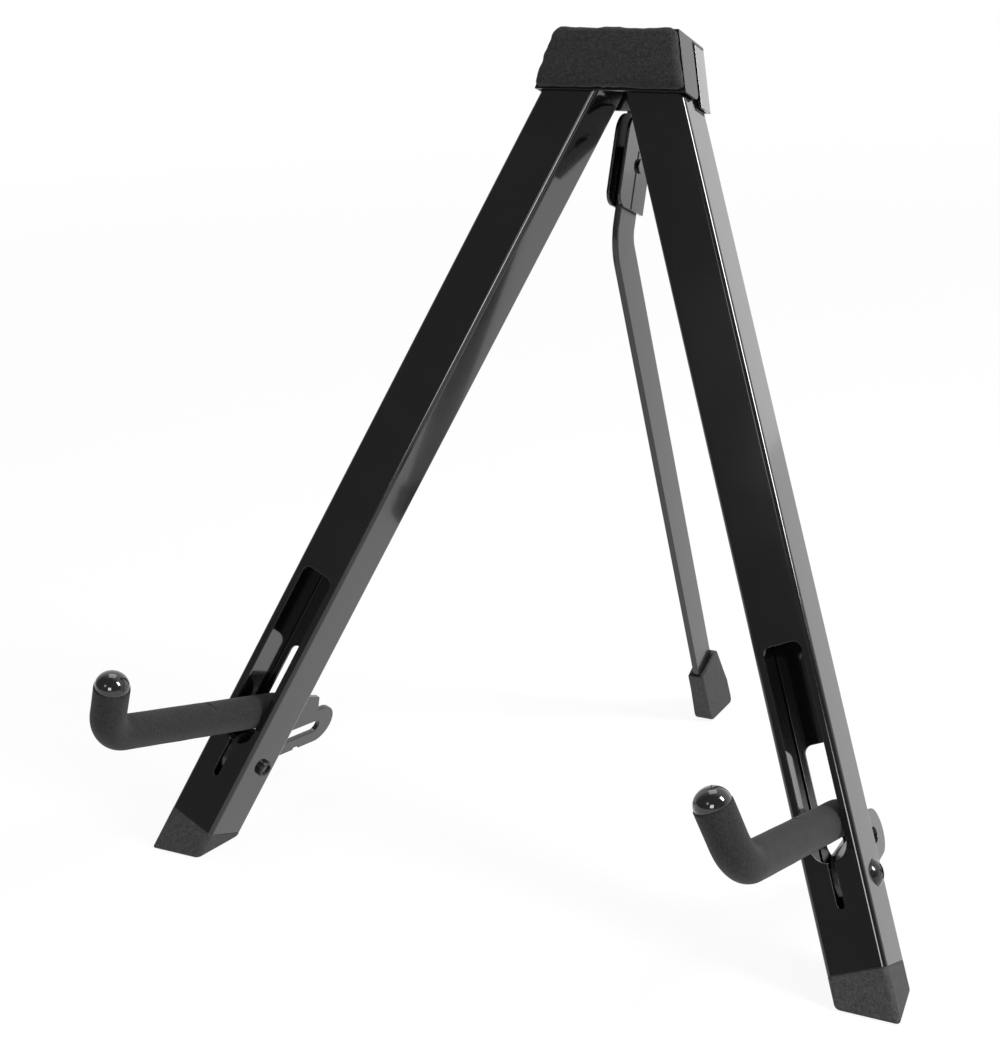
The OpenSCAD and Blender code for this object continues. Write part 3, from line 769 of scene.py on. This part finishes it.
def make_cap(side):
    """Domed cap turned about the end of the sleeve's line."""
    place = sleeve_place(side)
    rings = []
    for radius, beyond in cap_profile():
        rings.append(ring_at(place, SLEEVE_LENGTH + beyond, lambda a: radius))
    vertices, faces = join_rings(rings)
    piece = new_piece(side + "_cap", vertices, faces, cap_plastic, side + "_arm")
    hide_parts(side + "_end_cap")


for side in SIDES:
    make_cap(side)

# %% [markdown]
# ## The head pad
# The pad is a block of foam stuck to the leaning front of the head. It was cut by hand, so
# its outline is not quite straight, its edges are rolled over and its face swells a
# little. It is built as a stack of outlines: the trapezium with round corners is shrunk at
# each level, made uneven by a slow noise, and closed over by a shallow crown.

# %% Outline of the pad
PAD_LOW = -12.6
PAD_HIGH = 13.3
PAD_HALF_LOW = 35.15
PAD_HALF_HIGH = 28.35
PAD_CORNER = 3.2
CORNER_SHRINK = 0.4
LEAST_CORNER = 0.6
CORNER_STEPS = 8
SIDE_STEPS = 24


def pad_corners(inset):
    """Corners of the trapezium in the head's plane, shrunk by inset, as (x, z)."""
    slope = (PAD_HALF_HIGH - PAD_HALF_LOW) / (PAD_HIGH - PAD_LOW)
    low = PAD_LOW + inset
    high = PAD_HIGH - inset
    half_low = PAD_HALF_LOW + slope * inset - inset
    half_high = PAD_HALF_HIGH - slope * inset - inset
    points = [(half_low, low), (half_high, high), (-half_high, high), (-half_low, low)]
    return [Vector(point) for point in points]


def pad_outline(inset):
    """Points round the shrunken trapezium, with its corners rounded."""
    corner = max(PAD_CORNER - inset * CORNER_SHRINK, LEAST_CORNER)
    corners = pad_corners(inset)
    points = []
    for i, here in enumerate(corners):
        there = corners[(i + 1) % 4]
        before = (corners[i - 1] - here).normalized()
        after = (there - here).normalized()
        start = here + before * corner
        end = here + after * corner
        for k in range(CORNER_STEPS + 1):
            t = k / CORNER_STEPS
            points.append(start * (1 - t) ** 2 + here * 2 * t * (1 - t) + end * t**2)
        far = there - after * corner
        for k in range(1, SIDE_STEPS):
            points.append(end.lerp(far, k / SIDE_STEPS))
    return points


print("points round the pad:", len(pad_outline(0)))

# %% Unevenness of the pad
TRIM = 0.3
WANDER = 0.8
WANDER_PITCH = (0.24, 0.26)
WANDER_LAYER = 4.0
DENT = 0.2
DENT_PITCH = (0.09, 0.13)
DENT_LAYER = 1.0


def pad_noise(x, z, pitch, layer):
    """A slow noise over the pad; pitch is how many waves there are to a millimetre."""
    return noise.noise(Vector((x * pitch[0], z * pitch[1], layer)))


def uneven(x, z):
    """Moves a point of the outline in by up to a millimetre, or out by a little."""
    centre = Vector((0, (PAD_LOW + PAD_HIGH) / 2))
    out = (Vector((x, z)) - centre).normalized()
    step = WANDER * pad_noise(x, z, WANDER_PITCH, WANDER_LAYER) - TRIM
    return Vector((x, z)) + out * step


moves = [(uneven(x, z) - Vector((x, z))).length for x, z in pad_outline(0)]
print("the outline moves by", round(min(moves), 2), "to", round(max(moves), 2), "mm")

# %% Pad
PAD_BACK = -1.8
PAD_THICK = 5.5
GLUED_EDGE = [(0.4, 0.0), (0.0, 0.6)]
PAD_WALL = 2.2
PAD_ROLL = 2.9
ROLL_STEPS = 9
CROWN_INSET = 8.8
CROWN_RISE = 0.4


def pad_levels():
    """Inset and height of each outline, from the glued back to the crown."""
    levels = [*GLUED_EDGE, (0.0, PAD_WALL)]
    turns = [math.pi / 2 * k / ROLL_STEPS for k in range(1, ROLL_STEPS + 1)]
    for turn in turns:
        levels.append((PAD_ROLL * (1 - math.cos(turn)), PAD_WALL + PAD_ROLL * math.sin(turn)))
    top = PAD_WALL + PAD_ROLL
    for k, turn in enumerate(turns, 1):
        inset = PAD_ROLL + CROWN_INSET * k / ROLL_STEPS
        levels.append((inset, top + CROWN_RISE * math.sin(turn)))
    return levels


def make_pad():
    """Joins the outlines into a closed, crowned pad."""
    rings = []
    for inset, level in pad_levels():
        ring = []
        for x, z in pad_outline(inset):
            x, z = uneven(x, z)
            dent = DENT * pad_noise(x, z, DENT_PITCH, DENT_LAYER) * level / PAD_THICK
            y = PAD_BACK - level + dent
            ring.append(head_place @ (Vector((x, y, z)) * MM))
        rings.append(ring)
    vertices, faces = join_rings(rings)
    piece = new_piece("pad", vertices, faces, pad_foam, "head")
    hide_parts("head_pad")


make_pad()

# %% [markdown]
# ## Floor and background
# The photograph is cut out on white. The floor and the world show white to the camera, and
# the floor keeps part of its real shading so that the stand's shadow stays. Further off it
# fades to plain white, so that no edge of the lamps' light shows on it. Glossy rays see the
# same floor as the camera does, because the gloss paint mirrors it.

# %% Floor
FLOOR_HALF = 6.0
FLOOR_LEVEL = -0.0003
FLOOR_WHITE = 0.9
FAR_FROM = 0.5
FAR_TO = 2.5


def ray(network, kind):
    """1 for rays of one kind and 0 for others."""
    return network.node("ShaderNodeLightPath", output=f"Is {kind} Ray")


def seen_directly(network):
    """1 for camera, glossy and transmission rays, 0 for the light that falls on things."""
    mirrored = ray(network, "Glossy").at_least(ray(network, "Transmission"))
    return ray(network, "Camera").at_least(mirrored)


def floor_finish():
    """Keeps a share of its real shading near the stand and is plain white further off."""
    made = Finish("floor_white")
    made.shade(Base_Color=grey(0.86), Roughness=0.9, Specular_IOR_Level=0.0)
    settings = {"operation": "LENGTH"}
    away = made.node("ShaderNodeVectorMath", settings, {0: made.place()}, output="Value")
    white = away.step(FAR_FROM, FAR_TO) * (1 - FLOOR_WHITE) + FLOOR_WHITE
    glow = made.node("ShaderNodeEmission", {}, {"Strength": 1.0})
    shaded = Value(made, made.shader.outputs[0])
    parts = {0: white * seen_directly(made), 1: shaded, 2: glow}
    blend = made.node("ShaderNodeMixShader", {}, parts)
    made.feed(made.tree.nodes["Material Output"].inputs["Surface"], blend)
    return made.material


def make_floor():
    """A square sheet just under the feet, which is no part of the stand."""
    signs = ((-1, -1), (1, -1), (1, 1), (-1, 1))
    corners = [(x * FLOOR_HALF, y * FLOOR_HALF, FLOOR_LEVEL) for x, y in signs]
    mesh = bpy.data.meshes.new("floor")
    mesh.from_pydata(corners, [], [(0, 1, 2, 3)])
    mesh.materials.append(floor_finish())
    floor = bpy.data.objects.new("floor", mesh)
    bpy.context.scene.collection.objects.link(floor)
    print("floor", 2 * FLOOR_HALF, "m wide")


make_floor()

# %% [markdown]
# ## The room
# Black gloss shows nothing but reflections. A studio has its white sweep behind the object
# and a darker room in front of it, so the world that reflections see fades from white at
# the back to grey at the front. As a light on things it is one soft, dim grey.

# %% World
ROOM_LIGHT = 0.45
ROOM_FRONT = 0.2
SWEEP_FROM = -0.15
SWEEP_TO = 0.55


def make_world():
    """White to the camera, a sweep of white to grey to reflections, soft grey as a light."""
    world = bpy.data.worlds.new("room")
    bpy.context.scene.world = world
    world.use_nodes = True
    room = Network(world.node_tree)
    way = room.node("ShaderNodeTexCoord", output="Generated")
    backward = room.node("ShaderNodeSeparateXYZ", {}, {0: way}, output="Y")
    sweep = backward.step(SWEEP_FROM, SWEEP_TO) * (1 - ROOM_FRONT) + ROOM_FRONT
    shown = ray(room, "Camera").at_least(sweep)
    strength = seen_directly(room) * (shown - ROOM_LIGHT) + ROOM_LIGHT
    background = world.node_tree.nodes["Background"]
    room.feed(background.inputs["Color"], grey(1))
    room.feed(background.inputs["Strength"], strength)
    print("room light", ROOM_LIGHT, "and", ROOM_FRONT, "to 1 in reflections")


make_world()

# %% [markdown]
# ## The lamps
# The lamps are flat panels that the camera doesn't see. Gloss black is lit by what it
# mirrors, so most of them stand where a face or an edge mirrors them to the camera. The
# side panel, behind and to the right, lifts the grey on the outer side of the right leg.
# The edge panel, high on the right, draws the thin white line down that leg's front corner,
# and the front panel draws the one on the left leg's inner corner. A wide, dim panel draws
# as bright a line on a narrow edge as a narrow, bright one. From the left, where the legs'
# flat fronts mirror it, its image is broader but not as bright. The key and top panels
# light the foam and the floor.

# %% Lamps
def make_panel(name, place, target, width, height, brightness):
    """Flat lamp facing a target; brightness is what a mirror would show of it."""
    data = bpy.data.lights.new(name, "AREA")
    data.shape = "RECTANGLE"
    data.size = width
    data.size_y = height
    data.energy = brightness * math.pi * width * height
    lamp = bpy.data.objects.new(name, data)
    lamp.location = place
    aim = Vector(target) - Vector(place)
    lamp.rotation_euler = aim.to_track_quat("-Z", "Y").to_euler()
    lamp.visible_camera = False
    bpy.context.scene.collection.objects.link(lamp)
    print(name, round(data.energy, 1), "W")


make_panel("side_panel", (0.5, 1.3, 0.42), (0.1, 0, 0.2), 0.8, 0.7, 0.35)
make_panel("key_panel", (-0.36, -1.7, 1.25), (0, 0, 0.2), 0.4, 0.45, 3.6)
make_panel("front_panel", (0.5, -1.5, 0.6), (0, 0, 0.15), 0.5, 0.55, 10.0)
make_panel("edge_panel", (1.2, 0.05, 1.22), (0.05, 0, 0.25), 0.36, 0.7, 36.0)
make_panel("top_panel", (-0.3, 0.5, 1.7), (0, 0, 0.1), 0.9, 0.9, 2.5)

# %% [markdown]
# ## Settings
# The picture is shown without any film look.

# %% Settings
bpy.context.scene.view_settings.view_transform = "Standard"
